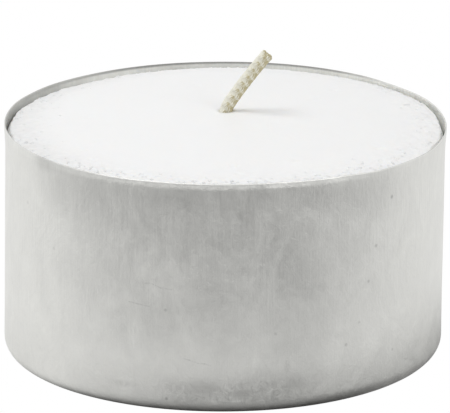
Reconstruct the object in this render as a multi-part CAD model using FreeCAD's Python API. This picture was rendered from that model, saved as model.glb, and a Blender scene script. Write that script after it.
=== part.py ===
import FreeCAD, Part
import math
import os

# Tea light candle: a foil cup, a pressed wax puck, a plaited wick and the tin foot that holds it.
# Millimetres, +Z up, origin on the cup's axis in the plane that it stands on.

Vector = FreeCAD.Vector
Z_AXIS = Vector(0, 0, 1)

# Foil cup
CUP_DIAMETER = 38.0
CUP_HEIGHT = 20.0
FOIL_THICKNESS = 0.2
CUP_CORNER_RADIUS = 1.3  # outside, from the wall to the foot
CORNER_BAND_COUNT = 5  # conical bands that the rounded corner is made of
FOOT_WIDTH = 1.6  # flat ring that the cup stands on
FLOOR_RISE = 0.5  # underside of the floor above that ring
FLOOR_STEP_WIDTH = 0.8  # of the slope from the ring up to the floor

# Wax puck
WAX_WALL_GAP = 0.15  # all round, between the wax and the cup's wall
WAX_EDGE_BELOW_RIM = 0.4
DOME_RISE = 1.5  # middle of the puck's top above its edge
DOME_BAND_COUNT = 5  # conical bands that the domed top is made of
WAX_SHOULDER = 0.3  # worn slope between the puck's top and its wall
WAX_FOOT_CHAMFER = 0.6
CHIP_COUNT = 48  # crumbled places along the shoulder
CHIP_WIDTH_MIN = 0.6
CHIP_WIDTH_MAX = 2.2
CHIP_DEPTH_MIN = 0.35  # inwards from the puck's wall, at the level of its edge
CHIP_DEPTH_MAX = 0.7
CHIP_SLOPE = math.radians(50)  # of the broken face, down towards the wall

# Plaited wick
PRESSED_RADIUS = 0.5  # inside the neck and the wax, where the wick is pressed round
WICK_RADIUS = 0.58  # over the strands, above the wax
STRAND_COUNT = 3  # strands side by side round the wick
STRAND_RELIEF = 0.09  # crest of a strand above the gap between two
PLAIT_PITCH = 2.2  # along the wick, from a crest to the next one of that strand
PLAIT_ROOT = 0.3  # of the open plait, in the pressed stretch below it
LOOSENING = 0.6  # stretch over which the plait opens, from the top of the pressed stretch
CREST_STEPS = 10  # places along one pitch that the wick's surface passes through
CREST_POINTS = 6  # places round the wick for each strand
BEND_DEPTH = 0.65  # where the wick leaves the vertical, below the middle of the puck's top
BEND_RADIUS = 2.5
LEAN_AFTER_BEND = math.radians(32.5)
LEAN_AT_TIP = math.radians(39)
FREE_LENGTH = 5.4  # of the wick, between its bend and the trimmed tip
HOLE_CLEARANCE = 0.08  # round the wick, in the pressed hole

# Tin foot under the wax that holds the wick upright
TIN_THICKNESS = 0.2
TIN_DIAMETER = 15.0
NECK_HEIGHT = 3.0  # above the disc
NECK_FLARE = 0.2  # at the neck's root, where it widens into the disc
CRIMP_CLEARANCE = 0.02  # round the wick, in the neck
RECESS_CLEARANCE = 0.15  # between the tin foot and the wax pressed to go over it

SLIVER = 1e-5  # far smaller than any feature: edges this close are one

cup_radius = CUP_DIAMETER / 2
floor_top = FLOOR_RISE + FOIL_THICKNESS
wax_radius = cup_radius - FOIL_THICKNESS - WAX_WALL_GAP
wax_edge_height = CUP_HEIGHT - WAX_EDGE_BELOW_RIM
wax_top_height = wax_edge_height + DOME_RISE
bend_start = wax_top_height - BEND_DEPTH - floor_top  # along the wick, from its lower end
neck_bore_radius = PRESSED_RADIUS + CRIMP_CLEARANCE
neck_radius = neck_bore_radius + TIN_THICKNESS
neck_top_height = floor_top + TIN_THICKNESS + NECK_HEIGHT


def at(radius, height):
    """A point of a profile that is turned about the Z axis."""
    return Vector(radius, 0, height)


def banded_arc(center, radius, start_angle, end_angle, bands):
    """Points along an arc of a profile, for a round stretch that is made of straight bands."""
    step = (end_angle - start_angle) / bands
    angles = [start_angle + step * number for number in range(bands + 1)]
    return [center + at(radius * math.cos(angle), radius * math.sin(angle)) for angle in angles]


def turned(face):
    """The solid that a profile in the XZ plane sweeps out about the Z axis."""
    return face.revolve(Vector(0, 0, 0), Z_AXIS, 360)


def sheet(points, thickness):
    """A turned sheet: the line of its one side, thickened to the line's left, with mitred bends."""
    mitred = 2
    return turned(Part.makePolygon(points).makeOffset2D(thickness, mitred, True, True))


def make_cup():
    foot_outer = at(cup_radius - CUP_CORNER_RADIUS, 0)
    foot_inner = foot_outer - at(FOOT_WIDTH, 0)
    floor_edge = foot_inner + at(-FLOOR_STEP_WIDTH, FLOOR_RISE)
    corner_center = foot_outer + at(0, CUP_CORNER_RADIUS)
    corner = banded_arc(corner_center, CUP_CORNER_RADIUS, -math.pi / 2, 0, CORNER_BAND_COUNT)
    outside = [at(0, FLOOR_RISE), floor_edge, foot_inner] + corner + [at(cup_radius, CUP_HEIGHT)]
    return sheet(outside, FOIL_THICKNESS)


def wick_place(distance):
    """Point and lean of the wick's middle line, at a distance up from the cup's floor."""
    bend_length = BEND_RADIUS * LEAN_AFTER_BEND
    if distance <= bend_start:
        return Vector(0, 0, floor_top + distance), 0.0
    if distance <= bend_start + bend_length:
        lean = (distance - bend_start) / BEND_RADIUS
        rise = BEND_RADIUS * math.sin(lean)
        return Vector(BEND_RADIUS * (1 - math.cos(lean)), 0, floor_top + bend_start + rise), lean
    base, _ = wick_place(bend_start + bend_length)
    free_radius = FREE_LENGTH / (LEAN_AT_TIP - LEAN_AFTER_BEND)
    lean = LEAN_AFTER_BEND + (distance - bend_start - bend_length) / free_radius
    across = free_radius * (math.cos(LEAN_AFTER_BEND) - math.cos(lean))
    along = free_radius * (math.sin(lean) - math.sin(LEAN_AFTER_BEND))
    return base + Vector(across, 0, along), lean


def wick_length():
    return bend_start + BEND_RADIUS * LEAN_AFTER_BEND + FREE_LENGTH


def plait_point(distance, angle):
    """A point on the plait's surface, where the strands' crests stand in a diamond pattern."""
    point, lean = wick_place(distance)
    opened = max(0, min(1, (distance - bend_start) / LOOSENING))
    weave = math.cos(STRAND_COUNT * angle) * math.cos(2 * math.pi * distance / PLAIT_PITCH)
    radius = WICK_RADIUS - STRAND_RELIEF / 2 * (1 - weave * opened)
    sideways = Vector(math.cos(lean), 0, -math.sin(lean))
    return point + sideways * (radius * math.cos(angle)) + Vector(0, radius * math.sin(angle), 0)


def make_plait(start, end):
    """The open plait: one smooth surface through its crests and gaps, closed at both ends."""
    steps = round(CREST_STEPS * (end - start) / PLAIT_PITCH)
    around = STRAND_COUNT * CREST_POINTS
    rows = [[plait_point(start + (end - start) * step / steps, 2 * math.pi * (place % around) / around)
             for place in range(around + 1)] for step in range(steps + 1)]
    surface = Part.BSplineSurface()
    surface.interpolate(rows)
    for row in range(1, surface.NbUPoles + 1):
        surface.setPole(row, surface.NbVPoles, surface.getPole(row, 1))  # closes the seam
    side = surface.toShape()
    ends = [Part.Face(Part.Wire(edge)) for edge in side.Edges if edge.isClosed()]
    shell = Part.makeShell([side] + ends)
    shell.sewShape(SLIVER)
    return Part.makeSolid(shell)


def make_wick():
    """Pressed round in the neck and in the wax, and a plait that opens where it leaves them."""
    pressed = Part.makeCylinder(PRESSED_RADIUS, bend_start, Vector(0, 0, floor_top))
    return pressed.fuse(make_plait(bend_start - PLAIT_ROOT, wick_length()))


def wick_hole():
    """The hole pressed in the wax, which goes round the wick's bend in straight, mitred stretches."""
    bottom = Vector(0, 0, floor_top)
    bend, _ = wick_place(bend_start)
    bend_end, lean = wick_place(bend_start + BEND_RADIUS * LEAN_AFTER_BEND)
    up_the_wick = Vector(math.sin(lean), 0, math.cos(lean))
    to_kink = BEND_RADIUS * math.tan(LEAN_AFTER_BEND / 4)
    kinks = [bend + Z_AXIS * to_kink, bend_end - up_the_wick * to_kink]
    middle_line = Part.makePolygon([bottom] + kinks + [bend_end + up_the_wick * BEND_DEPTH])
    mouth = Part.Wire(Part.makeCircle(WICK_RADIUS + HOLE_CLEARANCE, bottom, Z_AXIS))
    mitred = 1
    return middle_line.makePipeShell([mouth], True, False, mitred)


def shoulder_chips():
    """Blocks that each break a slanted flake off the puck's shoulder, of uneven size and spacing."""
    width_step = (math.sqrt(5) - 1) / 2
    depth_step = math.sqrt(3)
    spacing = 2 * math.pi / CHIP_COUNT
    chips = []
    for index in range(CHIP_COUNT):
        width_share = (index * width_step) % 1
        depth_share = (index * depth_step) % 1
        width = CHIP_WIDTH_MIN + (CHIP_WIDTH_MAX - CHIP_WIDTH_MIN) * width_share ** 2
        depth = CHIP_DEPTH_MIN + (CHIP_DEPTH_MAX - CHIP_DEPTH_MIN) * depth_share
        block = Part.makeBox(2 * CUP_HEIGHT, width, CUP_HEIGHT, Vector(-CUP_HEIGHT, -width / 2, 0))
        block.rotate(Vector(0, 0, 0), Vector(0, 1, 0), math.degrees(CHIP_SLOPE))
        block.translate(Vector(wax_radius - depth, 0, wax_edge_height))
        block.rotate(Vector(0, 0, 0), Z_AXIS, math.degrees(spacing * (index + width_share)))
        chips.append(block)
    return chips


def make_wick_sustainer():
    """A tin disc with a flared neck that is crimped round the wick."""
    disc_height = floor_top + TIN_THICKNESS
    upper_side = [
        at(TIN_DIAMETER / 2, disc_height),
        at(neck_radius + NECK_FLARE, disc_height),
        at(neck_radius, disc_height + NECK_FLARE),
        at(neck_radius, neck_top_height),
    ]
    return sheet(upper_side, TIN_THICKNESS)


def make_puck():
    """The puck before it is pierced: a straight wall, a chamfered foot and a domed top."""
    dome_radius = (wax_radius ** 2 + DOME_RISE ** 2) / (2 * DOME_RISE)
    dome_center = at(0, wax_top_height - dome_radius)
    edge_angle = math.acos(wax_radius / dome_radius)
    dome = banded_arc(dome_center, dome_radius, edge_angle, math.pi / 2, DOME_BAND_COUNT)
    bottom = at(0, floor_top)
    foot = at(wax_radius - WAX_FOOT_CHAMFER, floor_top)
    heel = at(wax_radius, floor_top + WAX_FOOT_CHAMFER)
    puck = turned(Part.Face(Part.makePolygon([bottom, foot, heel] + dome + [bottom])))
    shoulder = [edge for edge in puck.Edges
                if edge.isClosed() and abs(edge.BoundBox.ZMin - wax_edge_height) < SLIVER]
    return puck.makeChamfer(WAX_SHOULDER, shoulder)


def sustainer_recess():
    """Room under the puck for the tin foot's disc and its neck."""
    start = Vector(0, 0, floor_top)
    disc_room = TIN_THICKNESS + RECESS_CLEARANCE
    neck_room = neck_top_height - floor_top + RECESS_CLEARANCE
    disc = Part.makeCylinder(TIN_DIAMETER / 2 + RECESS_CLEARANCE, disc_room, start)
    neck = Part.makeCylinder(neck_radius + RECESS_CLEARANCE, neck_room, start)
    return disc.fuse(neck)


def make_wax():
    return make_puck().cut([sustainer_recess(), wick_hole()] + shoulder_chips())


def save(name, shape):
    shape.exportStep("parts/" + name + ".step")


os.makedirs("parts", exist_ok=True)
save("cup", make_cup())
save("wax", make_wax())
save("wick", make_wick())
save("wick_sustainer", make_wick_sustainer())
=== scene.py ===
import math

import bpy
import numpy as np
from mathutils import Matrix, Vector, noise


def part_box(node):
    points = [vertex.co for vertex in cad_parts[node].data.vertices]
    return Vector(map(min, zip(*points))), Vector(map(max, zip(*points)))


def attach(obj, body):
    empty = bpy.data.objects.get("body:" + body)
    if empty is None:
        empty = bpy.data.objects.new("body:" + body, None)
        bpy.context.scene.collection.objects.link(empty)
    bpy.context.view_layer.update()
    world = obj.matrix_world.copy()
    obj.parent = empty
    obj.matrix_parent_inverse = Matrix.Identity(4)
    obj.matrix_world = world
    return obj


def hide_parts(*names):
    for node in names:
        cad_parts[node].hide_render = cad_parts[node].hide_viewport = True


# Tea light candle: the looks of the foil cup, the pressed wax, its crumbs and the plaited wick.
# Lengths are in millimetres here, and are turned into metres where a mesh is made.
# A ramp's numbers are where it starts and ends, and what it goes from and to if not from 0 to 1.

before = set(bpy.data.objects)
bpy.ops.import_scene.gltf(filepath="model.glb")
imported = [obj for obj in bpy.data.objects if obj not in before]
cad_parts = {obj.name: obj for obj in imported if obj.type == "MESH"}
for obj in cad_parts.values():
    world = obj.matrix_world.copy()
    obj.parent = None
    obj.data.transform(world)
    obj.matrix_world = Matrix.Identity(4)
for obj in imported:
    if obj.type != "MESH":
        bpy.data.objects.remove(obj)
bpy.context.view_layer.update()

MM = 0.001


def corners(node):
    """Lowest and highest corner of a node, in millimetres."""
    return [np.array(corner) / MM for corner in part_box(node)]


cup_high = corners("cup")[1]
wax_low, wax_high = corners("wax")
wick_low = corners("wick")[0]
tin_high = corners("wick_sustainer")[1]

# Foil cup
CUP_LEAN = 0.25  # the rim's centre stands this far to +X of the foot's
LEAN_PIVOT_HEIGHT = 15.0  # where the leaning middle line crosses the CAD cup's axis
WALL_INSET = 0.11  # of the handled foil's wall, from the width of the rim
RIM_FLARE_HEIGHT = 2.6  # below the rim, where the wall starts to widen
RIM_ROLL_HEIGHT = 0.7  # below the rim, where a pressed rim starts to bend in
RIM_CURVE = 1.5  # the power that both of them grow with
RIM_RISE_FADING = 3  # the power of the height that an uneven rim's rise fades with down the wall
FOIL_THICKNESS = 0.1
CORNER_RADIUS = 1.3
FOOT_WIDTH = 1.6
FLOOR_RISE = 0.5
FLOOR_STEP_WIDTH = 0.8
RIM_BREAK = 0.02
RIM_WEAR = 0.04  # below the full height, all round

# Soft dents that handling left in the wall: how many fit in the cup's radius, how tall they are, where
# their noise starts, and their share of the depth
DENTS = [(2.2, 9.0, 0.0, 0.45), (6.0, 3.5, 7.0, 0.2)]
DENT_MEAN = 0.45
DENT_DEPTH = 0.04
DENTS_START_HEIGHT = 0.2
DENTS_FULL_HEIGHT = 3.0
DENTS_START_INSET = 1.0  # from the wall, on the rounded corner
DENTS_FULL_INSET = 0.3

# Rings of the cup's mesh
CUP_SEGMENTS = 400
FLOOR_RING_COUNT = 9
STEP_RING_COUNT = 7
FOOT_RING_COUNT = 4
CORNER_RING_COUNT = 14
WALL_RING_COUNT = 60
RIM_RING_COUNT = 14
INNER_RING_STEP = 4  # the inside has every fourth of the wall's rings
INNERMOST_RADIUS = 1.5
RING_MARGIN = 0.3  # between the floor's and the foot's rings and the step
CORNER_MARGIN = 0.2  # between the foot's rings and the corner
RIM_ZONE = 1.0  # below the rim, where the rings are close together

# Round the rim, by direction in degrees from the front towards +X: how far the trimmed rim rises over
# its mean height and is pressed in, and how wide and how deep the gap at the wax's broken edge is
EDGE_STATIONS = [
    (-90, 0.19, 0.0, 0.36, 0.38),
    (-60, 0.27, 0.04, 0.26, 0.25),
    (-35, 0.27, 0.08, 0.22, 0.12),
    (-12, 0.36, 0.08, 0.22, 0.10),
    (12, 0.38, 0.08, 0.22, 0.10),
    (30, 0.27, 0.08, 0.22, 0.12),
    (45, 0.03, 0.02, 0.25, 0.15),
    (70, -0.14, 0.0, 0.24, 0.25),
    (90, -0.15, 0.0, 0.22, 0.28),
    (110, -0.06, 0.0, 0.14, 0.16),
    (128, -0.13, 0.0, 0.13, 0.14),
    (142, -0.05, 0.0, 0.20, 0.24),
    (155, -0.03, 0.0, 0.34, 0.31),
    (180, -0.04, 0.0, 0.30, 0.34),
    (215, 0.02, 0.0, 0.44, 0.45),
    (240, 0.12, 0.0, 0.56, 0.40),
    (255, 0.21, 0.0, 0.46, 0.40),
]

# Foil's finish
FOIL_TONE = 0.83
FOIL_TINT = (1.0, 1.0, 0.965)
FOIL_ROUGHNESS = 0.42
LINE_SIZE = (0.1, 0.1, 3.5)  # of the upright lines that drawing the cup left
LINE_CONTRAST = 0.16
LINE_RELIEF = 0.01
LINES_BY_HEIGHT = (7.0, 16.0, 0.35, 1.0)
LINE_PATCH_SIZE = (2.4, 2.4, 5.0)  # of patches with more and fewer lines
LINES_BY_PATCH = (0.35, 0.65, 0.4, 1.3)
CLOUD_SIZE = (3.2, 3.2, 4.6)
CLOUD_CONTRAST = 0.14
CLOUD_RELIEF = 0.09
CLOUD_ROUGHENING = 0.2
MOTTLE_SIZE = (0.5, 0.5, 0.65)
MOTTLE_CONTRAST = 0.08
MOTTLE_RELIEF = 0.035
MOTTLE_ROUGHENING = 0.15
FLECK_SIZE = (0.16, 0.16, 0.22)
FLECK_CONTRAST = 0.03

# Marks on the foil's wall. Each place is along the wall from the front and up it.
# Specks: place, radius and strength
SPECKS = [
    (15.85, 17.3, 0.25, 0.3), (14.0, 13.4, 0.23, 0.25), (13.2, 10.42, 0.22, 0.22), (-4.95, 1.3, 0.2, 0.3),
    (10.85, 5.24, 0.24, 0.22), (12.2, 6.98, 0.2, 0.15), (16.2, 3.65, 0.2, 0.15), (4.3, 7.06, 0.22, 0.15),
    (-5.02, 9.12, 0.22, 0.2), (-20.5, 15.6, 0.25, 0.12), (-16.4, 12.6, 0.22, 0.1),
]
# Scratches: the places that each one runs through
SCRATCHES = [
    [(-6.8, 11.3), (-6.37, 11.36), (-5.92, 11.23), (-5.43, 11.03), (-4.5, 10.97)],
    [(-3.49, 4.98), (-2.97, 4.84), (-2.29, 4.6), (-1.69, 4.57), (-1.18, 4.41)],
    [(-8.27, 9.5), (-6.43, 9.3)],
    [(-24.2, 17.2), (-24.4, 14.0)],
]
SCRATCH_WIDTH = 0.09
SCRATCH_CORE = 0.3  # share of the width that is fully dark
SCRATCH_STRENGTH = 0.13
SCRATCH_BY_MOTTLE = (0.35, 0.6)  # breaks the scratches up
# Smudges, broken up by the mottle, and soft patches that dim or, where negative, brighten the wall: place,
# half the width, half the height and strength
SMUDGES = [
    (-8.84, 2.2, 1.9, 0.45, 0.15), (-1.9, 2.4, 2.2, 1.4, 0.22), (1.48, 1.9, 1.5, 0.6, 0.28),
    (5.3, 3.9, 0.4, 1.1, 0.22), (6.1, 2.7, 1.3, 1.2, 0.2), (-7.2, 16.2, 2.0, 0.8, 0.06),
]
SMUDGE_BY_MOTTLE = (0.3, 0.7)
TONE_PATCHES = [
    (-13.6, 19.0, 7.0, 4.6, 0.13), (6.2, 8.5, 4.2, 12.5, 0.12), (-4.9, 11.6, 3.8, 2.8, -0.16),
    (3.2, 2.8, 4.2, 2.0, 0.12), (12.8, 17.8, 5.5, 3.2, 0.09), (-17.6, 20.0, 2.2, 1.3, 0.14),
]
SPOT_FADE = (0.15, 1.0, 1.0, 0.0)  # of specks, smudges and patches, from the middle out
DARKEST_MARK = 0.8
CRUMPLE_LOW = 0.9  # the crumpled band of the wall near the foot
CRUMPLE_FADE_IN = 0.5
CRUMPLE_HIGH = 3.6
CRUMPLE_FULL_HEIGHT = 0.6  # share of its height up to which it is fully crumpled
CRUMPLE_SPAN = 8.5  # to each side of its middle
CRUMPLE_FULL_SPAN = 0.4  # share of the span that is fully crumpled
CRUMPLE_MIDDLE = 0.8
CRUMPLE_CONTRAST = 0.55
CRUMPLE_LEVEL = 0.67  # of the mottle, which is lighter over it and darker under it
# Painted shade that darkens the wall near the foot, mostly at the front
PAINTED_SHADE_LOW = 1.0
PAINTED_SHADE_HIGH = 4.8  # up to which the painted shade reaches
PAINTED_SHADE_STRENGTH = 0.15
PAINTED_SHADE_AT_SIDES = 0.2  # share of it that is left beyond the front

# Inside of the foil, by x, by y and by the depth under the rim
INSIDE_BY_FACING = (-0.6, 0.0, 1.0, 0.0)
# Painted shade on the inside wall, darkest towards -X
INSIDE_SHADE_BY_X = (-16.0, 17.0, 0.26, 0.02)
SMEAR_BY_X = (-18.0, -10.0)
SMEAR_BY_Y = (4.0, 14.0)
SMEAR_LIGHT_BY_X = (-12.0, -2.0, 0.24, 0.06)
SMEAR_ROUGHENING = 0.15
LIP_SHADE = 0.62  # painted shade: how much darker the strip under the cut edge is at the back
LIP_BY_DEPTH = (0.06, 0.3, 1.0, 0.0)
LIP_BY_Y = (4.0, 15.0)
LIP_BY_X_LEFT = (-16.0, -6.0, 0.4, 1.0)
LIP_BY_X_RIGHT = (8.0, 17.0, 1.0, 0.2)
EDGE_SHADE = 0.22  # painted shade: how much darker the cut edge is where it faces up
EDGE_BY_FACING = (0.2, 0.9)
EDGE_BY_HEIGHT = (15.0, 16.0)  # which leaves the floor out

# Wax
WAX_EDGE_BELOW_RIM = 0.4
WAX_WALL_GAP = 0.05
WAX_SHOULDER = 0.7  # height of the broken edge
WAX_FOOT_CHAMFER = 0.6
WAX_FOOT_LIFT = 0.02  # of the chamfer's lower edge
WAX_FOOT_MARGIN = 0.4  # between the chamfer and the next ring above it
WAX_SEGMENTS = 620
WAX_RING_STEP = 0.11  # between the rings of the crumbly edge
HOLE_RING_COUNT = 5
SMOOTH_RING_COUNT = 22
HOLE_ZONE = 2.0  # round the wick, where the rings are close together
HOLE_SHIFT_RADIUS = 3.0  # inside which the rings move over to the wick, which already leans there
GAP_START = 0.7  # share of the radius from which the rings draw in for the gap at the wall
CRUMBLE_WIDTH = 1.8  # of the crumbly edge, at the front and the back
CRUMBLE_WIDENING = 3.5  # more of it, at the left and the right
CRUMBLE_WANDER = 1.2
CRUMBLE_WANDER_SIZE = 3.0
CRUMBLE_FULL = 0.15  # share of its width that is fully crumbly
CRUMBLY_ZONE = 6.5  # measured from the wall, where the mesh is fine
LEVEL_ZONE = 5.2  # measured from the wall, where the top bends to the level of its edge
GRAIN_SIZE = 0.75
GRAIN_HEIGHT = 0.14
GRAIN_LEVEL = 0.7  # share of the highest grain's height that lies below the plain top
GRAIN_REACH = 0.8  # where a grain ends, as a share of its size
GRAIN_LOWEST = 0.35  # height of the lowest grains, as a share of the highest
GRAIN_SHUFFLE = 7.31  # keeps neighbouring grains from having like heights
GRAIN_ROUGHNESS = 0.3  # share of the height that fine noise makes
GRAIN_ROUGHNESS_SIZE = 0.3
SMOOTH_GRAIN = 0.05  # share of the grain that is left in the smooth middle
SWELL_HEIGHT = 0.03
SWELL_SIZE = 2.5
RIPPLE_HEIGHT = 0.008
RIPPLE_SIZE = 0.4
EDGE_ROUNDING = 0.18  # how far the top falls towards its broken edge
EDGE_ROUNDING_WIDTH = 1.4
GAP_NOISES = [(5.0, 4.0, 0.5), (17.0, 0.0, 0.6)]  # spots in the radius, start and share of the gap
NARROWEST_GAP = 0.3  # as a share of the gap at its station
WIDEST_GAP = 1.5
BROKEN_EDGE = [(0.07, 0.9), (0.2, 0.75), (0.42, 0.4), (0.75, 0.0)]  # shares of the shoulder and the gap
BREAK_DEPTH = 0.1
BREAK_SCALE = 1.2  # how much finer its grain is than the top's
BREAK_SHIFT = 20  # of its grain from ring to ring
BREAK_FADING = 3  # how fast the break fades out with the gap
WAX_WALL_TOP = 1.0  # below the edge, where the plain wall starts
WAX_MIDDLE_HEIGHT = 12.0
RECESS_CLEARANCE = 0.15
RECESS_HEIGHT = 1.08
NECK_ROOM_RADIUS = 0.88
INNER_HOLE_RADIUS = 0.62
HOLE_CLEARANCE = 0.02
PIT_DEPTH = 0.12
# Small pits in the top: place and size
WAX_PITS = [
    (-11.9, -0.1, 0.35), (-10.9, -6.6, 0.3), (-12.0, -8.5, 0.35), (-11.2, -11.4, 0.3), (5.9, -12.0, 0.35),
    (0.8, -13.4, 0.3), (1.2, -15.4, 0.3), (13.1, -7.5, 0.35), (9.4, 8.9, 0.35), (7.8, 4.9, 0.3),
    (-1.6, 2.6, 0.3), (-2.4, 8.9, 0.3),
]

# Crumbs: rough grains with the twelve corners of an icosahedron
CRUMB_SEED = 5
CRUMB_COUNT = 1200
CRUMB_SMALLEST = 0.1
CRUMB_GROWTH = 0.2
CRUMB_CLEARANCE = 0.2  # from the broken edge, as a share of its size
CRUMB_SPREAD = 0.3  # inward from the edge, as a share of the crumbly width
CRUMB_SINKING = (0.5, 0.85)  # into the wax, as a share of its size
CRUMB_ROUGHNESS = (0.75, 1.15)
CRUMB_STRETCH = (0.7, 1.1)
GOLDEN = (1 + math.sqrt(5)) / 2
CRUMB_CORNERS = np.array([
    (-1, GOLDEN, 0), (1, GOLDEN, 0), (-1, -GOLDEN, 0), (1, -GOLDEN, 0),
    (0, -1, GOLDEN), (0, 1, GOLDEN), (0, -1, -GOLDEN), (0, 1, -GOLDEN),
    (GOLDEN, 0, -1), (GOLDEN, 0, 1), (-GOLDEN, 0, -1), (-GOLDEN, 0, 1),
]) / math.sqrt(1 + GOLDEN ** 2)
CRUMB_FACES = [
    (0, 11, 5), (0, 5, 1), (0, 1, 7), (0, 7, 10), (0, 10, 11), (1, 5, 9), (5, 11, 4), (11, 10, 2),
    (10, 7, 6), (7, 1, 8), (3, 9, 4), (3, 4, 2), (3, 2, 6), (3, 6, 8), (3, 8, 9), (4, 9, 5), (2, 4, 11),
    (6, 2, 10), (8, 6, 7), (9, 8, 1),
]

# Wax's finish
WAX_TONE = 0.94
WAX_TINT = (1.0, 1.0, 0.997)
WAX_ROUGHNESS = 0.45
WAX_ROUGHENING = 0.15
WAX_CLOUD_SIZE = (3.0, 3.0, 3.0)
WAX_CLOUD_CONTRAST = 0.02
WAX_GRAIN_SIZE = (0.35, 0.35, 0.35)
WAX_GRAIN_CONTRAST = 0.02
WAX_GRAIN_RELIEF = 0.02
WAX_EDGE_WIDTH = 5.0  # of the darker band at the edge, which is painted shade, darkest towards -X, with random blotches
WAX_EDGE_SHADE = 0.02
WAX_EDGE_SHADE_BY_X = (-17.0, -8.0, 0.09, 0.0)
WAX_BLOB_SIZE = (0.6, 0.6, 0.6)
WAX_BLOB_CONTRAST = 0.17
WAX_DEPTH = 0.4  # how far light spreads in the wax
WAX_DEPTH_BY_COLOUR = (1.0, 0.9, 0.8)
WAX_CLEARNESS = 0.35

# Wick
WICK_SEED = 11
WICK_RADIUS = 0.58
BEND_DEPTH = 0.65
BEND_RADIUS = 2.5
LEAN_AFTER_BEND = math.radians(33.5)
LEAN_AT_TIP = math.radians(40.5)
FREE_LENGTH = 5.4
PLAIT_PITCH = 2.2
STRAND_SWING = 0.27  # sideways, of a strand's middle line
STRAND_FLATNESS = 0.15  # how long a strand stays at the side before it turns back
STRAND_DEPTH = 0.17  # to and fro
STRAND_COUNT = 3
YARN_COUNT = 7  # of each strand, round one more in its middle
YARN_RADIUS = 0.11
YARN_SIDES = 8
YARN_TIP = 0.25  # height of its cone, as a share of the radius
YARN_RING = 0.2  # of a strand's yarns about its middle line
YARN_TWIST = 3.1  # stretch over which a strand's yarns go round it once
YARN_COARSE_STEP = 0.25  # between the points of a yarn, deep in the wax
YARN_FINE_START = 1.0  # below the bend, where its points get closer
YARN_FINE_COUNT = 90
YARN_END_SPREAD = 0.05  # of the yarns' cut ends
SQUEEZE = 0.22  # how much thinner the wick is inside the wax
SQUEEZE_STRETCH = 0.8
SOAKED_WIDTH = 0.55  # half the width of the wax-soaked body between the strands
SOAKED_DEPTH = 0.36
SOAKED_START = 0.05
SOAKED_END = 0.08  # below the wick's tip
SOAKED_SIDES = 20
SOAKED_RING_COUNT = 70

# Cotton's and tin's finishes
COTTON_LIGHT = (0.9, 0.885, 0.78, 1.0)
COTTON_DARK = (0.56, 0.50, 0.31, 1.0)
COTTON_LIGHTNESS = 0.22
COTTON_LIGHTNESS_RANGE = (0.16, 0.52)  # between the dark colour and the light one
COTTON_SHADED_BY_FACING = (-0.3, 0.7)
COTTON_SHADED = 0.4  # painted shade: how much darker the side to +X is
COTTON_ROUGHNESS = 0.55
COTTON_ROUGHENING = 0.2
FIBRE_SIZE = (0.08, 0.08, 0.08)
FIBRE_CONTRAST = 0.3
FIBRE_RELIEF = 0.02
COTTON_PATCH_SIZE = (0.5, 0.5, 0.9)
COTTON_PATCH_CONTRAST = 0.2
TIN_TONE = 0.58
TIN_CONTRAST = 0.1
TIN_BLUE = 0.985  # share of the other colours
TIN_ROUGHNESS = 0.3
TIN_ROUGHENING = 0.15
TIN_LINE_SIZE = (0.05, 3.0, 3.0)
TIN_LINE_RELIEF = 0.004

# Studio
CAMERA_LENS = 612.4
SENSOR_WIDTH = 36.0
CAMERA_DISTANCE = 657.6
CAMERA_ELEVATION = math.radians(17.42)
CAMERA_CLIP_START = 0.01  # in metres, like the end
CAMERA_CLIP_END = 20.0
AIM_RIGHT = 0.02  # of the CAD cup's axis
AIM_UP = 2.41
ROOM_LEVEL = 0.5
# Softboxes: azimuth from the front towards +X and elevation, in degrees, distance, size, and how bright
# a white card looks that faces it
LAMPS = [("key", -90, 64, 500.0, 260.0, 0.42), ("fill", 50, 36, 600.0, 260.0, 0.16)]
LAMP_AIM_HEIGHT = 12.0
FLOOR_HALF = 3000.0
FLOOR_TONE = 0.86
FLOOR_GRAIN_SIZE = (40.0, 40.0, 40.0)
FLOOR_GRAIN = 0.02

# The floor in reflections, where it is darker towards the camera and near the cup. Across is -1 at the
# far left of the cup's axis and 1 at the far right.
FLOOR_MIRRORED = 0.42  # share of the floor's own light in reflections
FRONT_FALLOFF = 0.7  # how much darker it is towards the camera
FRONT_NEAR = 14.0
FRONT_FAR = 62.0
FRONT_START = math.radians(15)  # directions from the front between which it fades out
FRONT_END = math.radians(115)
FOOT_EDGE_MARGIN = 0.2  # between the foot ring and where its shade starts to fade
FOOT_SHADE = 0.12  # brightness right under the cup's edge
FOOT_SHADE_WIDTH = 2.0
SIDE_SHADE_WIDTH = 4.5  # more of the foot's shade towards +X, away from the key light
SIDE_SHADE_BY_ACROSS = (0.3, 1.0)
FOOT_SHADE_RIGHT = (0.3, 0.9, 1.0, 0.45)
FOOT_SHADE_LEFT = (-1.0, -0.5, 0.6, 1.0)
NEAR_SHADE = 0.46  # brightness beside the foot
NEAR_SHADE_WIDTH = 14.0
NEAR_SHADE_LEFT = (-0.9, -0.1, 0.2, 1.0)
NEAR_SHADE_RIGHT = (0.4, 0.9, 1.0, 0.75)

rim_height = cup_high[2] - RIM_WEAR
rim_radius = cup_high[0] - CUP_LEAN * (1 - LEAN_PIVOT_HEIGHT / rim_height)
cup_radius = rim_radius - WALL_INSET
wax_radius = cup_radius - FOIL_THICKNESS - WAX_WALL_GAP
wax_edge_height = rim_height - WAX_EDGE_BELOW_RIM
wax_top_height = wax_high[2]
dome_rise = wax_top_height - wax_edge_height
dome_radius = (wax_radius ** 2 + dome_rise ** 2) / (2 * dome_rise)
bend_start = wax_top_height - BEND_DEPTH - wick_low[2]  # along the wick, from its lower end
wick_length = bend_start + BEND_RADIUS * LEAN_AFTER_BEND + FREE_LENGTH


# Meshes

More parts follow.
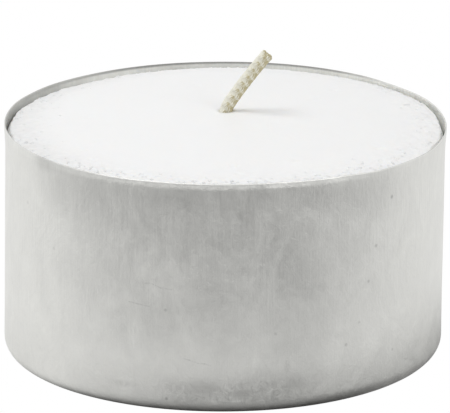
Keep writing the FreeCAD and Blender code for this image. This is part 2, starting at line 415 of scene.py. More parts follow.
def skin(rings, first_pole=None, last_pole=None, wrap=False):
    """Vertices and faces between rings of points, which end in poles or go round to the first ring."""
    count, around, _ = rings.shape
    vertices = rings.reshape(-1, 3).tolist()
    ring = np.arange(count - 1 + wrap)[:, None]
    place = np.arange(around)[None, :]
    steps = ((0, 0), (0, 1), (1, 1), (1, 0))
    quads = [(ring + up) % count * around + (place + on) % around for up, on in steps]
    faces = np.stack(quads, axis=-1).reshape(-1, 4).tolist()
    for pole, start, flip in ((first_pole, 0, True), (last_pole, (count - 1) * around, False)):
        if pole is not None:
            tip = len(vertices)
            vertices.append(list(pole))
            for number in range(around):
                pair = [start + number, start + (number + 1) % around]
                faces.append((pair[::-1] if flip else pair) + [tip])
    return vertices, faces


def add_object(name, data):
    """A new object of the scene."""
    made = bpy.data.objects.new(name, data)
    bpy.context.scene.collection.objects.link(made)
    return made


def make_piece(name, parts, finish, replaced=()):
    """One piece of the candle from several sets of vertices and faces, which rides on its body."""
    vertices = []
    faces = []
    for part_vertices, part_faces in parts:
        start = len(vertices)
        vertices.extend(part_vertices)
        faces.extend([[start + number for number in face] for face in part_faces])
    mesh = bpy.data.meshes.new(name)
    mesh.from_pydata((np.array(vertices) * MM).tolist(), [], faces)
    mesh.polygons.foreach_set("use_smooth", [True] * len(mesh.polygons))
    mesh.materials.append(finish.owner)
    mesh.validate()
    mesh.update()
    piece = add_object(name, mesh)
    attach(piece, "root")
    if replaced:
        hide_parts(*replaced)


def ease(value, low, high):
    """Rises smoothly from 0 at low to 1 at high."""
    share = np.clip((value - low) / (high - low), 0, 1)
    return share * share * (3 - 2 * share)


def full_turn(count):
    """Equal turns from +X towards +Y, in radians."""
    return np.arange(count) * 2 * math.pi / count


# Shader expressions

class Value:
    """What varies over a surface: a node's socket, in an expression of adding and scaling."""

    def __init__(self, finish, socket):
        self.finish = finish
        self.socket = socket

    def __add__(self, other):
        return self.finish.math("ADD", self, other)

    def __radd__(self, other):
        return self.finish.math("ADD", other, self)

    def __sub__(self, other):
        return self.finish.math("SUBTRACT", self, other)

    def __rsub__(self, other):
        return self.finish.math("SUBTRACT", other, self)

    def __mul__(self, other):
        return self.finish.math("MULTIPLY", self, other)

    def __rmul__(self, other):
        return self.finish.math("MULTIPLY", other, self)

    def __truediv__(self, other):
        return self.finish.math("DIVIDE", self, other)


class Finish:
    """A node tree of a material or of the world, filled by one method and joined by expressions."""

    def __init__(self, owner):
        self.owner = owner
        owner.use_nodes = True
        self.tree = owner.node_tree
        self.tree.nodes.clear()

    def node(self, kind, settings, inputs, output=0):
        """Makes a node, sets it up, fills its sockets by place or name, and gives one of its outputs."""
        made = self.tree.nodes.new(kind)
        for name, value in settings.items():
            setattr(made, name, value)
        for name, value in inputs.items():
            open_sockets = [socket for socket in made.inputs if socket.enabled]
            named = {socket.name: socket for socket in reversed(open_sockets)}
            socket = open_sockets[name] if isinstance(name, int) else named[name]
            if isinstance(value, Value):
                self.tree.links.new(value.socket, socket)
            else:
                socket.default_value = value
        outputs = [socket for socket in made.outputs if socket.enabled]
        found = outputs[output] if isinstance(output, int) else made.outputs[output]
        return Value(self, found)

    def math(self, operation, *values):
        return self.node("ShaderNodeMath", {"operation": operation}, dict(enumerate(values)))

    def vector(self, operation, *values, output=0):
        return self.node("ShaderNodeVectorMath", {"operation": operation}, dict(enumerate(values)), output)

    def place(self):
        """Where a point of the piece is, in millimetres."""
        metres = self.node("ShaderNodeTexCoord", {}, {}, "Object")
        return self.vector("SCALE", metres, 1 / MM)

    def normal(self):
        """Which way the surface faces."""
        return self.node("ShaderNodeTexCoord", {}, {}, "Normal")

    def parts(self, vector):
        """The three parts of a vector."""
        return [self.node("ShaderNodeSeparateXYZ", {}, {0: vector}, axis) for axis in range(3)]

    def join(self, x, y, z):
        return self.node("ShaderNodeCombineXYZ", {}, {0: x, 1: y, 2: z})

    def noise(self, place, size, detail=2.0, roughness=0.5, distortion=0.0):
        """Soft noise from 0 to 1, whose spots have about the size that is given along each axis."""
        scaled = self.vector("DIVIDE", place, size)
        inputs = {"Vector": scaled, "Scale": 1.0, "Detail": detail, "Roughness": roughness,
                  "Distortion": distortion}
        return self.node("ShaderNodeTexNoise", {"noise_dimensions": "3D"}, inputs, "Fac")

    def ramp(self, value, low, high, to_low=0.0, to_high=1.0):
        """Takes low to high smoothly to to_low to to_high, and holds outside them."""
        inputs = {0: value, 1: low, 2: high, 3: to_low, 4: to_high}
        settings = {"interpolation_type": "SMOOTHSTEP", "data_type": "FLOAT"}
        return self.node("ShaderNodeMapRange", settings, inputs)

    def blend(self, share, one, other):
        """A colour that goes from one to the other as share goes from 0 to 1."""
        return self.node("ShaderNodeMix", {"data_type": "RGBA"}, {0: share, "A": one, "B": other})

    def bump(self, height, depth, below=None):
        """A relief of that depth, in millimetres, where height is 1, on another one below it."""
        inputs = {"Strength": 1.0, "Distance": depth * MM, "Height": height}
        if below is not None:
            inputs["Normal"] = below
        return self.node("ShaderNodeBump", {}, inputs)

    def surface(self, inputs):
        """Joins a plain shader with these inputs to the tree's output."""
        self.close(self.node("ShaderNodeBsdfPrincipled", {}, inputs))

    def close(self, shader):
        """Joins a shader to the tree's output."""
        world = isinstance(self.owner, bpy.types.World)
        output = self.tree.nodes.new("ShaderNodeOutputWorld" if world else "ShaderNodeOutputMaterial")
        self.tree.links.new(shader.socket, output.inputs["Surface"])


def new_finish(name):
    return Finish(bpy.data.materials.new(name))


# Foil's finish

def stroke(foil, wall, start, end):
    """1 on a straight scratch along the wall from start to end, and 0 away from it."""
    run = (end[0] - start[0], end[1] - start[1], 0.0)
    squared = run[0] ** 2 + run[1] ** 2
    offset = foil.vector("SUBTRACT", wall, (start[0], start[1], 0.0))
    along = foil.vector("DOT_PRODUCT", offset, run, output="Value") / squared
    along = foil.math("MINIMUM", foil.math("MAXIMUM", along, 0.0), 1.0)
    nearest = foil.vector("SCALE", run, along)
    distance = foil.vector("DISTANCE", offset, nearest, output="Value")
    return foil.ramp(distance, SCRATCH_CORE * SCRATCH_WIDTH, SCRATCH_WIDTH, 1.0, 0.0)


def spot(foil, wall, across, up, wide, tall):
    """1 in the middle of a soft oval on the wall, and 0 outside it."""
    offset = foil.vector("SUBTRACT", wall, (across, up, 0.0))
    distance = foil.vector("LENGTH", foil.vector("DIVIDE", offset, (wide, tall, 1.0)), output="Value")
    return foil.ramp(distance, *SPOT_FADE)


def marked(foil, wall, mottle):
    """How dark the specks, scratches and smudges are."""
    marks = 0.0
    for across, up, radius, strength in SPECKS:
        marks = marks + spot(foil, wall, across, up, radius, radius) * strength
    scratched = foil.ramp(mottle, *SCRATCH_BY_MOTTLE) * SCRATCH_STRENGTH
    for points in SCRATCHES:
        for start, end in zip(points, points[1:]):
            marks = marks + stroke(foil, wall, start, end) * scratched
    smudged = foil.ramp(mottle, *SMUDGE_BY_MOTTLE)
    for *oval, strength in SMUDGES:
        marks = marks + spot(foil, wall, *oval) * smudged * strength
    return foil.math("MINIMUM", marks, DARKEST_MARK)


def crumpled(foil, around, height):
    """Where the wall is finely crumpled, near the foot at the front."""
    beside = foil.math("ABSOLUTE", around - CRUMPLE_MIDDLE)
    sides = foil.ramp(beside, CRUMPLE_FULL_SPAN * CRUMPLE_SPAN, CRUMPLE_SPAN, 1.0, 0.0)
    low = foil.ramp(height, CRUMPLE_LOW, CRUMPLE_LOW + CRUMPLE_FADE_IN)
    high = foil.ramp(height, CRUMPLE_FULL_HEIGHT * CRUMPLE_HIGH, CRUMPLE_HIGH, 1.0, 0.0)
    return sides * low * high


def painted_low_shade(foil, around, height):
    """Painted shade: how much darker the wall is near the foot, mostly at the front."""
    sides = foil.ramp(foil.math("ABSOLUTE", around), 0.5 * cup_radius, cup_radius, 1.0, PAINTED_SHADE_AT_SIDES)
    return sides * foil.ramp(height, PAINTED_SHADE_LOW, PAINTED_SHADE_HIGH, PAINTED_SHADE_STRENGTH, 0.0)


def wall_tone(foil, place, lines, clouds, mottle):
    """How bright the foil is, with its drawing lines, haze, marks, darker and lighter patches and painted
    shade near the foot.
    """
    x, y, height = foil.parts(place)
    around = foil.math("ARCTAN2", x, 0 - y) * cup_radius
    wall = foil.join(around, height, 0.0)
    flecks = foil.noise(place, FLECK_SIZE, roughness=0.6)
    patches = foil.noise(place, LINE_PATCH_SIZE)
    lined = foil.ramp(height, *LINES_BY_HEIGHT) * foil.ramp(patches, *LINES_BY_PATCH)
    tone = FOIL_TONE + (clouds - 0.5) * CLOUD_CONTRAST + (lines - 0.5) * lined * LINE_CONTRAST
    tone = tone + (mottle - 0.5) * MOTTLE_CONTRAST + (flecks - 0.5) * FLECK_CONTRAST
    tone = tone + (mottle - CRUMPLE_LEVEL) * crumpled(foil, around, height) * CRUMPLE_CONTRAST
    # painted shade near the foot, mostly at the front
    tone = tone * (1 - marked(foil, wall, mottle)) * (1 - painted_low_shade(foil, around, height))
    # soft patches that darken or lighten the wall
    for *oval, strength in TONE_PATCHES:
        tone = tone * (1 - spot(foil, wall, *oval) * strength)
    return tone


def inside_tone(foil, place, inside, smear):
    """How much of the foil's brightness is left inside the cup and on its cut edge: painted shade there,
    and the smear's lighter tone.
    """
    x, y, height = foil.parts(place)
    facing_up = foil.parts(foil.normal())[2]
    # painted shade on the inside wall, darkest towards -X
    inside_shade = 1 - inside * foil.ramp(x, *INSIDE_SHADE_BY_X)
    smeared = 1 + smear * foil.ramp(x, *SMEAR_LIGHT_BY_X)
    # painted shade under the cut edge at the back
    lip = foil.ramp(rim_height - height, *LIP_BY_DEPTH) * foil.ramp(y, *LIP_BY_Y)
    lip = lip * foil.ramp(x, *LIP_BY_X_LEFT) * foil.ramp(x, *LIP_BY_X_RIGHT) * inside
    # painted shade where the cut edge faces up
    edge = foil.ramp(facing_up, *EDGE_BY_FACING) * foil.ramp(height, *EDGE_BY_HEIGHT)
    return inside_shade * smeared * (1 - lip * LIP_SHADE) * (1 - edge * EDGE_SHADE)


def foil_finish():
    """Hazy drawn aluminium: upright drawing lines, cloudy haze, crumples, specks and fine scratches."""
    foil = new_finish("drawn_foil")
    place = foil.place()
    x, y, _ = foil.parts(place)
    lines = foil.noise(place, LINE_SIZE, roughness=0.6)
    clouds = foil.noise(place, CLOUD_SIZE, detail=4.0, roughness=0.6, distortion=1.1)
    mottle = foil.noise(place, MOTTLE_SIZE, detail=3.0, roughness=0.7, distortion=0.8)
    outward = foil.vector("NORMALIZE", foil.join(x, y, 0.0))
    facing = foil.vector("DOT_PRODUCT", foil.normal(), outward, output="Value")
    inside = foil.ramp(facing, *INSIDE_BY_FACING)
    smear = foil.ramp(x, *SMEAR_BY_X) * foil.ramp(y, *SMEAR_BY_Y) * inside
    tone = wall_tone(foil, place, lines, clouds, mottle) * inside_tone(foil, place, inside, smear)
    roughening = (clouds - 0.5) * CLOUD_ROUGHENING + (mottle - 0.5) * MOTTLE_ROUGHENING
    relief = foil.bump(lines, LINE_RELIEF)
    relief = foil.bump(clouds, CLOUD_RELIEF, relief)
    relief = foil.bump(mottle, MOTTLE_RELIEF, relief)
    foil.surface({
        "Base Color": foil.vector("SCALE", FOIL_TINT, tone),
        "Metallic": 1.0,
        "Roughness": FOIL_ROUGHNESS + smear * SMEAR_ROUGHENING + roughening,
        "Normal": relief,
    })
    return foil


# Finishes of the wax, the cotton and the tin

def wax_finish(name):
    """Pressed paraffin: white, a little translucent, faintly uneven, with painted shade near its edge."""
    wax = new_finish(name)
    place = wax.place()
    x, y, _ = wax.parts(place)
    radius = wax.vector("LENGTH", wax.join(x, y, 0.0), output="Value")
    clouds = wax.noise(place, WAX_CLOUD_SIZE, detail=3.0)
    grains = wax.noise(place, WAX_GRAIN_SIZE)
    blobs = wax.noise(place, WAX_BLOB_SIZE, roughness=0.6)
    # painted shade near the edge, darkest towards -X, with random blotches
    edge_shade_and_blobs = WAX_EDGE_SHADE + wax.ramp(x, *WAX_EDGE_SHADE_BY_X) + (blobs - 0.5) * WAX_BLOB_CONTRAST
    tone = WAX_TONE + (clouds - 0.5) * WAX_CLOUD_CONTRAST + (grains - 0.5) * WAX_GRAIN_CONTRAST
    tone = tone - wax.ramp(radius, wax_radius - WAX_EDGE_WIDTH, wax_radius) * edge_shade_and_blobs
    wax.surface({
        "Base Color": wax.vector("SCALE", WAX_TINT, tone),
        "Roughness": WAX_ROUGHNESS + grains * WAX_ROUGHENING,
        "Subsurface Weight": WAX_CLEARNESS,
        "Subsurface Radius": WAX_DEPTH_BY_COLOUR,
        "Subsurface Scale": WAX_DEPTH * MM,
        "Normal": wax.bump(grains, WAX_GRAIN_RELIEF),
    })
    return wax


def cotton_finish():
    """Waxed cotton: cream, darker olive in patches, and with painted shade on the side that turns to +X.
    """
    cotton = new_finish("waxed_cotton")
    place = cotton.place()
    fibres = cotton.noise(place, FIBRE_SIZE, detail=3.0, roughness=0.6)
    patches = cotton.noise(place, COTTON_PATCH_SIZE)
    # painted shade on the side that turns to +X
    shaded = cotton.ramp(cotton.parts(cotton.normal())[0], *COTTON_SHADED_BY_FACING)
    light = COTTON_LIGHTNESS + fibres * FIBRE_CONTRAST + patches * COTTON_PATCH_CONTRAST
    share = cotton.ramp(light - shaded * COTTON_SHADED, *COTTON_LIGHTNESS_RANGE)
    cotton.surface({
        "Base Color": cotton.blend(share, COTTON_DARK, COTTON_LIGHT),
        "Roughness": COTTON_ROUGHNESS + fibres * COTTON_ROUGHENING,
        "Normal": cotton.bump(fibres, FIBRE_RELIEF),
    })
    return cotton


def tin_finish():
    """Plain tinned steel, with faint rolling lines."""
    tin = new_finish("tinned_steel")
    lines = tin.noise(tin.place(), TIN_LINE_SIZE)
    tone = TIN_TONE + (lines - 0.5) * TIN_CONTRAST
    tin.surface({
        "Base Color": tin.join(tone, tone, tone * TIN_BLUE),
        "Metallic": 1.0,
        "Roughness": TIN_ROUGHNESS + lines * TIN_ROUGHENING,
        "Normal": tin.bump(lines, TIN_LINE_RELIEF),
    })
    return tin


# Foil cup

def cup_rings():
    """The cup's section, from the middle of its underside over the rim to the middle of its floor."""
    foot_outer = cup_radius - CORNER_RADIUS
    foot_inner = foot_outer - FOOT_WIDTH
    step_inner = foot_inner - FLOOR_STEP_WIDTH
    floor_radii = np.linspace(INNERMOST_RADIUS, step_inner - RING_MARGIN, FLOOR_RING_COUNT)
    foot_radii = np.linspace(foot_inner + RING_MARGIN, foot_outer - CORNER_MARGIN, FOOT_RING_COUNT)
    steps = [(foot_inner - FLOOR_STEP_WIDTH * (1 - share), FLOOR_RISE * (1 - ease(share, 0, 1)))
             for share in np.linspace(0, 1, STEP_RING_COUNT)]
    angles = np.linspace(0, math.pi / 2, CORNER_RING_COUNT)
    wall_heights = list(np.linspace(CORNER_RADIUS, rim_height - RIM_ZONE, WALL_RING_COUNT)[1:])
    rim_heights = list(np.linspace(rim_height - RIM_ZONE, rim_height - RIM_BREAK, RIM_RING_COUNT)[1:])
    inner_heights = wall_heights[INNER_RING_STEP::INNER_RING_STEP]

    def side(raised, corner_radius, wall_radius, heights):
        section = [(r, FLOOR_RISE + raised) for r in floor_radii]
        section += [(r, z + raised) for r, z in steps]
        section += [(r, raised) for r in foot_radii]
        section += [(foot_outer + corner_radius * math.sin(a), raised + corner_radius * (1 - math.cos(a)))
                    for a in angles]
        return section + [(wall_radius, z) for z in heights]

    inner_radius = cup_radius - FOIL_THICKNESS
    inner_corner = CORNER_RADIUS - FOIL_THICKNESS
    outside = side(0.0, CORNER_RADIUS, cup_radius, wall_heights + rim_heights)
    inside = side(FOIL_THICKNESS, inner_corner, inner_radius, inner_heights + rim_heights)
    rim = [(cup_radius - RIM_BREAK, rim_height), (inner_radius + RIM_BREAK, rim_height)]
    return outside + rim + inside[::-1]


def lean_at(height):
    """How far the leaning cup's middle line is to +X of the axis."""
    return CUP_LEAN * (height - LEAN_PIVOT_HEIGHT) / rim_height


def bent_at(height, stretch):
    """How far along a bend is that takes up the last stretch under the rim, from 0 to 1."""
    return float(ease(height, rim_height - stretch, rim_height)) ** RIM_CURVE


def dent_at(direction, height):
    """How far the wall is pushed in by soft dents."""
    share = DENT_MEAN
    for around, tall, start, strength in DENTS:
        point = Vector((direction[0] * around, direction[1] * around, height / tall + start))
        share += strength * noise.noise(point)
    return DENT_DEPTH * min(1.0, max(0.0, share))


def edge_at(turn):
    """Rim's rise, its pressing in, gap and depth of the wax's edge, at a turn from +X towards +Y."""
    direction = (math.degrees(turn) + 180) % 360 - 90
    ring = EDGE_STATIONS + [(EDGE_STATIONS[0][0] + 360,) + EDGE_STATIONS[0][1:]]
    for before, after in zip(ring, ring[1:]):
        if before[0] <= direction < after[0]:
            share = float(ease(direction, before[0], after[0]))
            return [one + (other - one) * share for one, other in zip(before[1:], after[1:])]
    return list(ring[0][1:])


def make_cup(finish):
    """The foil cup: its section turned round, then leaned, dented and given an uneven rim."""
    turns = full_turn(CUP_SEGMENTS)
    directions = np.stack([np.cos(turns), np.sin(turns)], axis=-1)
    edges = np.array([edge_at(turn) for turn in turns])
    rings = []
    for radius, height in cup_rings():
        dented = ease(radius, cup_radius - DENTS_START_INSET, cup_radius - DENTS_FULL_INSET)
        dented *= ease(height, DENTS_START_HEIGHT, DENTS_FULL_HEIGHT)
        dents = np.array([dent_at(direction, height) for direction in directions]) if dented > 0 else 0.0
        flare = WALL_INSET * bent_at(height, RIM_FLARE_HEIGHT)
        pressed = bent_at(height, RIM_ROLL_HEIGHT) * edges[:, 1]
        ring = np.empty((CUP_SEGMENTS, 3))
        ring[:, :2] = directions * (radius + flare - dented * dents - pressed)[:, None]
        ring[:, 0] += lean_at(height)
        ring[:, 2] = height + edges[:, 0] * (height / rim_height) ** RIM_RISE_FADING
        rings.append(ring)
    poles = [(lean_at(FLOOR_RISE), 0.0, FLOOR_RISE + up) for up in (0.0, FOIL_THICKNESS)]
    make_piece("foil_cup", [skin(np.array(rings), *poles)], finish, ["cup"])


# Wick

def wick_place(distance):
    """Point and lean of the wick's middle line, at a distance along it from its lower end."""
    if distance <= bend_start:
        return np.array([0.0, 0.0, wick_low[2] + distance]), 0.0
    bend_length = BEND_RADIUS * LEAN_AFTER_BEND
    if distance <= bend_start + bend_length:
        lean = (distance - bend_start) / BEND_RADIUS
        rise = BEND_RADIUS * math.sin(lean)
        return np.array([BEND_RADIUS * (1 - math.cos(lean)), 0.0, wick_low[2] + bend_start + rise]), lean
    base, _ = wick_place(bend_start + bend_length)
    free_radius = FREE_LENGTH / (LEAN_AT_TIP - LEAN_AFTER_BEND)
    lean = LEAN_AFTER_BEND + (distance - bend_start - bend_length) / free_radius
    across = free_radius * (math.cos(LEAN_AFTER_BEND) - math.cos(lean))
    along = free_radius * (math.sin(lean) - math.sin(LEAN_AFTER_BEND))
    return base + np.array([across, 0.0, along]), lean


def sideways_at(lean):
    """Across the wick, to the side that it leans to."""
    return np.array([math.cos(lean), 0.0, -math.sin(lean)])


def yarn_middle(distance, strand, yarn):
    """Where a yarn's middle line is: its strand weaves through the plait, and it winds in the strand."""
    point, lean = wick_place(distance)
    phase = 2 * math.pi * (distance / PLAIT_PITCH + strand / STRAND_COUNT)
    twist = 2 * math.pi * (distance / YARN_TWIST + yarn / YARN_COUNT)
    ring = YARN_RING if yarn < YARN_COUNT else 0.0
    swing = STRAND_SWING * (math.sin(phase) + STRAND_FLATNESS * math.sin(3 * phase))
    across = swing + ring * math.cos(twist)
    depth = STRAND_DEPTH * math.sin(2 * phase) + ring * math.sin(twist)
    squeezed = 1 - SQUEEZE * float(ease(bend_start - distance, 0.0, SQUEEZE_STRETCH))
    return point + (sideways_at(lean) * across + np.array([0.0, depth, 0.0])) * squeezed


def tube(points, radius):
    """A closed tube about a line of points, with its last end capped by a low cone."""
    points = np.array(points)
    run = np.gradient(points, axis=0)
    run /= np.linalg.norm(run, axis=1)[:, None]
    side = np.cross(run, (0.0, 1.0, 0.0))
    side /= np.linalg.norm(side, axis=1)[:, None]
    front = np.cross(run, side)
    turns = full_turn(YARN_SIDES)
    outward = (np.cos(turns)[None, :, None] * front[:, None, :]
               + np.sin(turns)[None, :, None] * side[:, None, :])
    return skin(points[:, None, :] + radius * outward, points[0], points[-1] + run[-1] * radius * YARN_TIP)


def soaked_body():
    """The smooth, wax-soaked body that fills the wick between its strands."""
    end = wick_length - SOAKED_END
    front = np.array([0.0, SOAKED_DEPTH, 0.0])
    turns = full_turn(SOAKED_SIDES)
    rings = []
    for distance in np.linspace(SOAKED_START, end, SOAKED_RING_COUNT):
        point, lean = wick_place(distance)
        side = sideways_at(lean) * SOAKED_WIDTH
        rings.append([point + side * math.cos(turn) + front * math.sin(turn) for turn in turns])
    return skin(np.array(rings), wick_place(SOAKED_START)[0], wick_place(end)[0])


def make_wick(finish):
    """The plaited wick: yarns that are woven round a wax-soaked body."""
    rng = np.random.default_rng(WICK_SEED)
    fine_start = bend_start - YARN_FINE_START
    tubes = [soaked_body()]
    for strand in range(STRAND_COUNT):
        for yarn in range(YARN_COUNT + 1):
            end = wick_length - YARN_END_SPREAD * rng.random()
            distances = list(np.arange(0.0, fine_start, YARN_COARSE_STEP))
            distances += list(np.linspace(fine_start, end, YARN_FINE_COUNT))
            middle = [yarn_middle(distance, strand, yarn) for distance in distances]
            tubes.append(tube(middle, YARN_RADIUS))
    make_piece("wick_plait", tubes, finish, ["wick"])


# Wax

def dome_at(radius):
    """Height of the plain domed top."""
    return wax_top_height - dome_radius + math.sqrt(dome_radius ** 2 - min(radius, wax_radius) ** 2)


def soft_noise(x, y, size, layer):
    """Noise from -1 to 1 over the top, whose layers differ."""
    return noise.noise(Vector((x / size, y / size, layer)))


def crumble_at(x, y):
    """How crumbly the top is, from 0 in the smooth middle to 1 at the edge."""
    radius = math.hypot(x, y)
    width = CRUMBLE_WIDTH + CRUMBLE_WIDENING * (x / max(radius, 1e-6)) ** 2
    width += CRUMBLE_WANDER * soft_noise(x, y, CRUMBLE_WANDER_SIZE, layer=3)
    return float(ease(radius, wax_radius - width, wax_radius - CRUMBLE_FULL * width))


def grain_at(x, y):
    """Height of the grains that the wax was pressed from, from 0 to 1."""
    distances, points = noise.voronoi(Vector((x / GRAIN_SIZE, y / GRAIN_SIZE, 0.0)))
    own = 0.5 + 0.5 * noise.cell(points[0] * GRAIN_SHUFFLE)
    soft = 0.5 + 0.5 * soft_noise(x, y, GRAIN_ROUGHNESS_SIZE, layer=9)
    mound = 1 - min(1.0, distances[0] / GRAIN_REACH) ** 2
    grain = mound * (GRAIN_LOWEST + (1 - GRAIN_LOWEST) * own)
    return (1 - GRAIN_ROUGHNESS) * grain + GRAIN_ROUGHNESS * soft


def level_change(x, y, radius):
    """How much higher than the dome the top is near its edge, where the rim and the gap's depth vary."""
    if radius <= wax_radius - LEVEL_ZONE:
        return 0.0
    rise, _, _, depth = edge_at(math.atan2(y, x))
    return (WAX_EDGE_BELOW_RIM - depth + rise) * float(ease(radius, wax_radius - LEVEL_ZONE, wax_radius))


def wax_height(x, y):
    """Height of the top with its grains and pits, never above the CAD wax."""
    radius = math.hypot(x, y)
    swell = SWELL_HEIGHT * soft_noise(x, y, SWELL_SIZE, layer=0)
    ripple = RIPPLE_HEIGHT * soft_noise(x, y, RIPPLE_SIZE, layer=5)
    rounding = EDGE_ROUNDING * max(0.0, 1 + (radius - wax_radius) / EDGE_ROUNDING_WIDTH) ** 2
    pits = sum(PIT_DEPTH * math.exp(-((x - pit_x) ** 2 + (y - pit_y) ** 2) / size ** 2)
               for pit_x, pit_y, size in WAX_PITS)
    grained = SMOOTH_GRAIN + (1 - SMOOTH_GRAIN) * crumble_at(x, y)
    grains = GRAIN_HEIGHT * (grain_at(x, y) - GRAIN_LEVEL) * grained
    height = dome_at(radius) + level_change(x, y, radius) + swell + ripple + grains - rounding - pits
    return min(height, wax_top_height)


def edge_gap(turn):
    """Space between the wall and the broken edge of the top, which is uneven and closes in places."""
    direction = Vector((math.cos(turn), math.sin(turn), 0.0))
    _, pressed, gap, _ = edge_at(turn)
    share = 1.0
    for spots, start, strength in GAP_NOISES:
        share += strength * noise.noise(direction * spots + Vector((0.0, 0.0, start)))
    return pressed + (gap - pressed) * min(WIDEST_GAP, max(NARROWEST_GAP, share))


def top_rings(turns, gaps):
    """Rings of the top, from the wick's hole out to the broken edge."""
    hole = WICK_RADIUS + HOLE_CLEARANCE
    smooth_radius = wax_radius - CRUMBLY_ZONE
    radii = list(np.linspace(hole, HOLE_ZONE, HOLE_RING_COUNT)[:-1])
    radii += list(np.linspace(HOLE_ZONE, smooth_radius, SMOOTH_RING_COUNT)[:-1])
    radii += list(np.linspace(smooth_radius, wax_radius, round(CRUMBLY_ZONE / WAX_RING_STEP)))
    leaning, _ = wick_place(wax_top_height - wick_low[2])
    rings = []
    for full_radius in radii:
        drawn_in = float(ease(full_radius / wax_radius, GAP_START, 1.0))
        ring = []
        for turn, gap in zip(turns, gaps):
            radius = full_radius - gap * drawn_in
            shift = leaning[0] * (1 - float(ease(radius, hole, HOLE_SHIFT_RADIUS)))
            x = shift + radius * math.cos(turn)
            y = radius * math.sin(turn)
            ring.append((x, y, wax_height(x, y)))
        rings.append(ring)
    return rings


def broken_rings(turns, gaps):
    """Rings of the broken edge, from the top down to the full width of the puck."""
    rings = []
    for down, inward in BROKEN_EDGE:
        ring = []
        for turn, gap in zip(turns, gaps):
            rise, _, _, depth = edge_at(turn)
            radius = wax_radius - inward * gap
            x = radius * math.cos(turn)
            y = radius * math.sin(turn)
            grain = grain_at(x * BREAK_SCALE, y * BREAK_SCALE + BREAK_SHIFT * down)
            broken = BREAK_DEPTH * (grain - 0.5) * min(1.0, inward * BREAK_FADING)
            height = rim_height + rise - depth - EDGE_ROUNDING - down * WAX_SHOULDER
            ring.append((x + broken * math.cos(turn), y + broken * math.sin(turn), height + broken))
        rings.append(ring)
    return rings


def plain_rings(turns):
    """Rings of the puck's wall, its foot, the room for the sustainer and the hole for the wick."""
    low = wax_low[2]
    recess_radius = tin_high[0] + RECESS_CLEARANCE
    neck_height = tin_high[2] + RECESS_CLEARANCE
    leaning = [
        (wax_radius, wax_edge_height - WAX_WALL_TOP),
        (wax_radius, WAX_MIDDLE_HEIGHT),
        (wax_radius, low + WAX_FOOT_CHAMFER + WAX_FOOT_MARGIN),
        (wax_radius - WAX_FOOT_CHAMFER, low + WAX_FOOT_LIFT),
    ]
    upright = [
        (recess_radius, low),
        (recess_radius, RECESS_HEIGHT),
        (NECK_ROOM_RADIUS, RECESS_HEIGHT),
        (NECK_ROOM_RADIUS, neck_height),
        (INNER_HOLE_RADIUS, neck_height),
        (INNER_HOLE_RADIUS, WAX_MIDDLE_HEIGHT),
        (INNER_HOLE_RADIUS, wax_top_height - BEND_DEPTH),
    ]
    places = [(radius, height, lean_at(height)) for radius, height in leaning]
    places += [(radius, height, 0.0) for radius, height in upright]
    return [[(radius * math.cos(turn) + shift, radius * math.sin(turn), height) for turn in turns]
            for radius, height, shift in places]


def make_wax(finish):
    """The pressed puck, whose section closes on itself round the hole for the wick."""
    turns = full_turn(WAX_SEGMENTS)
    gaps = [edge_gap(turn) for turn in turns]
    rings = top_rings(turns, gaps) + broken_rings(turns, gaps) + plain_rings(turns)
    make_piece("wax_puck", [skin(np.array(rings)[::-1], wrap=True)], finish, ["wax"])


def crumb(center, radius, rng):
    """One crumb: a rough, stretched grain that is turned at random."""
    axes, _ = np.linalg.qr(rng.normal(size=(3, 3)))
    shaped = CRUMB_CORNERS * rng.uniform(*CRUMB_ROUGHNESS, (12, 1)) * rng.uniform(*CRUMB_STRETCH, 3)
    return ((shaped @ axes) * radius + center).tolist(), CRUMB_FACES


def make_crumbs(finish):
    """Loose crumbs that lie half sunk in the top, most of them near its broken edge."""
    rng = np.random.default_rng(CRUMB_SEED)
    grains = []
    while len(grains) < CRUMB_COUNT:
        turn = rng.uniform(0, 2 * math.pi)
        crumbly_width = CRUMBLE_WIDTH + CRUMBLE_WIDENING * math.cos(turn) ** 2
        inward = abs(rng.normal(0, CRUMB_SPREAD)) * crumbly_width
        size = CRUMB_SMALLEST + CRUMB_GROWTH * rng.random() ** 2
        radius = wax_radius - edge_gap(turn) - CRUMB_CLEARANCE * size - inward
        if radius < wax_radius - CRUMBLY_ZONE:
            continue
        x = radius * math.cos(turn)
        y = radius * math.sin(turn)
        z = wax_height(x, y) - size * rng.uniform(*CRUMB_SINKING)
        grains.append(crumb(np.array([x, y, z]), size, rng))
    make_piece("wax_crumbs", grains, finish)


# Studio

def make_camera():
    away = np.array([0.0, -math.cos(CAMERA_ELEVATION), math.sin(CAMERA_ELEVATION)])
    up = np.array([0.0, math.sin(CAMERA_ELEVATION), math.cos(CAMERA_ELEVATION)])
    aim = np.array([AIM_RIGHT, 0.0, rim_height / 2]) + up * AIM_UP
    data = bpy.data.cameras.new("camera")
    data.sensor_width = SENSOR_WIDTH
    data.lens = CAMERA_LENS
    data.clip_start = CAMERA_CLIP_START
    data.clip_end = CAMERA_CLIP_END
    camera = add_object("camera", data)
    camera.location = ((aim + away * CAMERA_DISTANCE) * MM).tolist()
    camera.rotation_euler = (math.pi / 2 - CAMERA_ELEVATION, 0.0, 0.0)
    bpy.context.scene.camera = camera


def make_lamp(name, azimuth, elevation, distance, size, level):
    """A square softbox that is aimed at the candle."""
    turn = math.radians(azimuth)
    climb = math.radians(elevation)
    away = Vector((math.sin(turn) * math.cos(climb), -math.cos(turn) * math.cos(climb), math.sin(climb)))
    data = bpy.data.lights.new(name, "AREA")
    data.shape = "SQUARE"
    data.size = size * MM
    data.energy = level * math.pi * math.pi * (distance * MM) ** 2
    lamp = add_object(name, data)
    lamp.location = away * distance * MM + Vector((0.0, 0.0, LAMP_AIM_HEIGHT * MM))
    lamp.rotation_euler = away.to_track_quat("Z", "Y").to_euler()


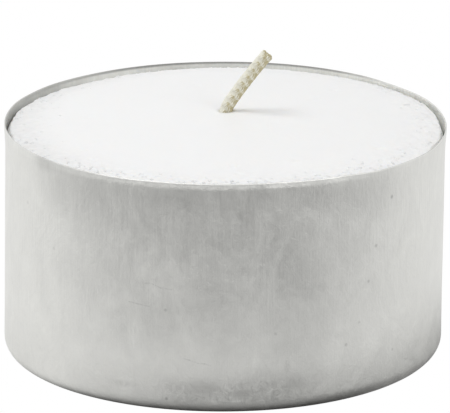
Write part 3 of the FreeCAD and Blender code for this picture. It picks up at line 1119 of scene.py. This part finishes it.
def seen_by(finish):
    """Three masks that are 1 for what the camera, a reflection and a clear surface sees."""
    rays = ("Is Camera Ray", "Is Glossy Ray", "Is Transmission Ray")
    return [finish.node("ShaderNodeLightPath", {}, {}, ray) for ray in rays]


def make_world():
    """A room that looks white and gives soft light from all sides."""
    world = bpy.data.worlds.new("studio")
    bpy.context.scene.world = world
    room = Finish(world)
    camera, glossy, clear = seen_by(room)
    seen = room.math("MINIMUM", camera + glossy + clear, 1.0)
    strength = seen + (1 - seen) * ROOM_LEVEL
    white = (1.0, 1.0, 1.0, 1.0)
    room.close(room.node("ShaderNodeBackground", {}, {"Color": white, "Strength": strength}))


def front_shade(finish, x, y, distance):
    """How much darker a reflection of the floor is towards the camera."""
    around = finish.math("ABSOLUTE", finish.math("ARCTAN2", x, 0 - y))
    front = finish.ramp(around, FRONT_START, FRONT_END, 1.0, 0.0)
    return front * finish.ramp(distance, FRONT_NEAR, FRONT_FAR) * FRONT_FALLOFF


def foot_shade(finish, across, distance):
    """How much darker a reflection of the floor is under the cup's rounded corner."""
    foot_edge = cup_radius - CORNER_RADIUS + FOOT_EDGE_MARGIN
    width = FOOT_SHADE_WIDTH + finish.ramp(across, *SIDE_SHADE_BY_ACROSS) * SIDE_SHADE_WIDTH
    shade = finish.ramp((distance - foot_edge) / width, 0.0, 1.0, 1 - FOOT_SHADE, 0.0)
    return shade * finish.ramp(across, *FOOT_SHADE_RIGHT) * finish.ramp(across, *FOOT_SHADE_LEFT)


def near_shade(finish, across, distance):
    """How much darker a reflection of the floor is beside the cup."""
    beside = (distance - cup_radius) / NEAR_SHADE_WIDTH
    shade = finish.ramp(beside, 0.0, 1.0, 1 - NEAR_SHADE, 0.0)
    return shade * finish.ramp(across, *NEAR_SHADE_LEFT) * finish.ramp(across, *NEAR_SHADE_RIGHT)


def floor_finish():
    """A matt floor that the camera sees as plain white, and reflections as shaded near the candle."""
    finish = new_finish("studio_floor")
    camera, glossy, clear = seen_by(finish)
    place = finish.place()
    x, y, _ = finish.parts(place)
    distance = finish.vector("LENGTH", place, output="Value")
    across = x / distance
    falloff = 1 - front_shade(finish, x, y, distance) * glossy
    falloff = falloff * (1 - foot_shade(finish, across, distance) * glossy)
    falloff = falloff * (1 - near_shade(finish, across, distance) * glossy)
    tone = (FLOOR_TONE + finish.noise(place, FLOOR_GRAIN_SIZE) * FLOOR_GRAIN) * falloff
    matt = finish.node("ShaderNodeBsdfDiffuse", {}, {"Color": finish.join(tone, tone, tone)})
    own_light = finish.join(falloff, falloff, falloff)
    light = finish.node("ShaderNodeEmission", {}, {"Color": own_light, "Strength": 1.0})
    share = finish.math("MINIMUM", camera + (glossy + clear) * FLOOR_MIRRORED, 1.0)
    finish.close(finish.node("ShaderNodeMixShader", {}, {0: share, 1: matt, 2: light}))
    return finish


def make_floor(finish):
    half = FLOOR_HALF * MM
    outline = [(-half, -half, 0.0), (half, -half, 0.0), (half, half, 0.0), (-half, half, 0.0)]
    mesh = bpy.data.meshes.new("floor")
    mesh.from_pydata(outline, [], [(0, 1, 2, 3)])
    mesh.materials.append(finish.owner)
    add_object("floor", mesh)


bpy.context.scene.view_settings.view_transform = "Standard"
make_camera()
make_world()
make_floor(floor_finish())
for lamp_settings in LAMPS:
    make_lamp(*lamp_settings)

make_cup(foil_finish())
make_wax(wax_finish("pressed_wax"))
make_crumbs(wax_finish("wax_crumb"))
make_wick(cotton_finish())
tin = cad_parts["wick_sustainer"]
tin.data.materials.clear()
tin.data.materials.append(tin_finish().owner)
